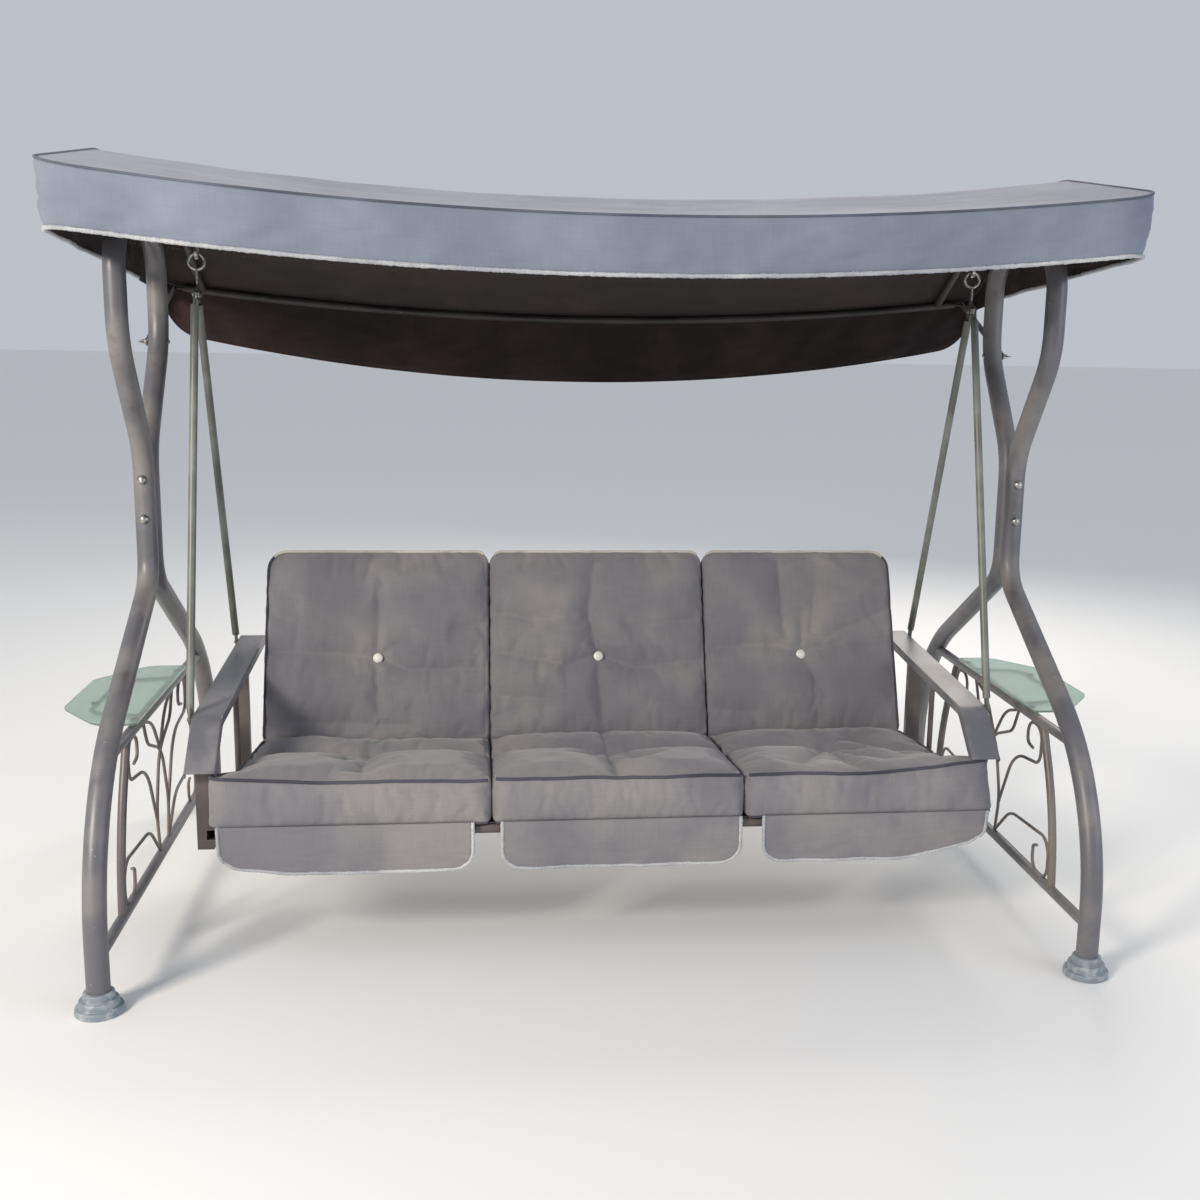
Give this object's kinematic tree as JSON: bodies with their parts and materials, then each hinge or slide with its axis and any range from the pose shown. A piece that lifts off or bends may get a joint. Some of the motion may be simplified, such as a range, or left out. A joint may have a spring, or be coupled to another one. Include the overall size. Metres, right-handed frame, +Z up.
{
  "type": "glider swing",
  "caption": "Garden glider swing: bent-tube side frames, hanging reclining bench with cushions, tilting sagged canopy, glass side tables and scrollwork panels.",
  "frame": {"origin": "ground centre between the four feet, under the middle of the beam", "axes": "+X to the viewer's right along the beam, +Y to the back, +Z up"},
  "size_m": [2.58, 1.426, 1.8258],
  "materials": {
    "frame_paint": "satin hammered powder coat",
    "foot_plastic": "moulded",
    "table_glass": "clear tempered",
    "pad_rubber": "matt",
    "bolt_steel": "zinc plated",
    "seat_fabric": "woven polyester",
    "sling_fabric": "woven mesh",
    "canopy_fabric": "coated woven polyester",
    "button_plastic": "moulded"
  },
  "bodies": {
    "frame": {"front_leg_left": "frame_paint", "rear_leg_left": "frame_paint", "top_arch_left": "frame_paint", "lower_bar_left": "frame_paint", "upper_bar_left": "frame_paint", "balusters_left": "frame_paint", "scrollwork_left": "frame_paint", "table_support_left": "frame_paint", "front_leg_right": "frame_paint", "rear_leg_right": "frame_paint", "top_arch_right": "frame_paint", "lower_bar_right": "frame_paint", "upper_bar_right": "frame_paint", "balusters_right": "frame_paint", "scrollwork_right": "frame_paint", "table_support_right": "frame_paint", "top_beam": "frame_paint", "foot_cap_front_left": "foot_plastic", "foot_cap_front_right": "foot_plastic", "foot_cap_rear_left": "foot_plastic", "foot_cap_rear_right": "foot_plastic", "table_glass_left": "table_glass", "table_glass_right": "table_glass", "table_pads": "pad_rubber", "waist_bolts": "bolt_steel", "swing_hooks": "bolt_steel", "stay_studs": "bolt_steel", "canopy_brackets": "frame_paint"},
    "seat": {"hanger_link_left": "bolt_steel", "hanger_link_right": "bolt_steel", "hanger_front_left": "frame_paint", "hanger_front_right": "frame_paint", "hanger_rear_left": "frame_paint", "hanger_rear_right": "frame_paint", "arm_left": "frame_paint", "arm_right": "frame_paint", "arm_posts_left": "frame_paint", "arm_posts_right": "frame_paint", "seat_frame": "frame_paint", "recline_plates": "frame_paint", "hanger_bolts": "bolt_steel", "recline_bolts": "bolt_steel", "seat_sling": "sling_fabric", "seat_cushion_left": "seat_fabric", "seat_cushion_middle": "seat_fabric", "seat_cushion_right": "seat_fabric", "seat_flaps": "seat_fabric"},
    "backrest": {"back_frame": "frame_paint", "back_sling": "sling_fabric", "back_cushion_left": "seat_fabric", "back_cushion_middle": "seat_fabric", "back_cushion_right": "seat_fabric", "back_buttons": "button_plastic"},
    "canopy": {"canopy_rails": "frame_paint", "canopy_side_rails": "frame_paint", "canopy_cover": "canopy_fabric"},
    "stay_left": {"canopy_stay_left": "frame_paint"},
    "stay_right": {"canopy_stay_right": "frame_paint"},
    "wing_nut_left": {"wing_nut_left": "bolt_steel"},
    "wing_nut_right": {"wing_nut_right": "bolt_steel"}
  },
  "joints": [
    {"name": "seat_swing", "type": "hinge", "parent": "frame", "child": "seat", "pos_m": [0, 0, 1.608], "axis": [1, 0, 0], "range_deg": [-20, 20]},
    {"name": "back_recline", "type": "hinge", "parent": "seat", "child": "backrest", "pos_m": [0, 0.145, 0.247], "axis": [-1, 0, 0], "range_deg": [0, 60]},
    {"name": "canopy_tilt", "type": "hinge", "parent": "frame", "child": "canopy", "pos_m": [0, 0, 1.801], "axis": [-1, 0, 0], "range_deg": [0, 10]},
    {"name": "stay_left_pivot", "type": "hinge", "parent": "canopy", "child": "stay_left", "pos_m": [0, 0.55, 1.53663], "axis": [-1, 0, 0], "range_deg": [0, 2.1]},
    {"name": "stay_right_pivot", "type": "hinge", "parent": "canopy", "child": "stay_right", "pos_m": [0, 0.55, 1.53663], "axis": [-1, 0, 0], "range_deg": [0, 2.1]},
    {"name": "wing_nut_left_turn", "type": "hinge", "parent": "frame", "child": "wing_nut_left", "pos_m": [-1.13, 0.1986, 1.395], "axis": [-1, 0, 0], "continuous": true},
    {"name": "wing_nut_right_turn", "type": "hinge", "parent": "frame", "child": "wing_nut_right", "pos_m": [1.13, 0.1986, 1.395], "axis": [1, 0, 0], "continuous": true}
  ],
  "couplings": [
    {"joint": "stay_left_pivot", "follows": "canopy_tilt", "ratio": 0.206},
    {"joint": "stay_right_pivot", "follows": "canopy_tilt", "ratio": 0.206}
  ]
}
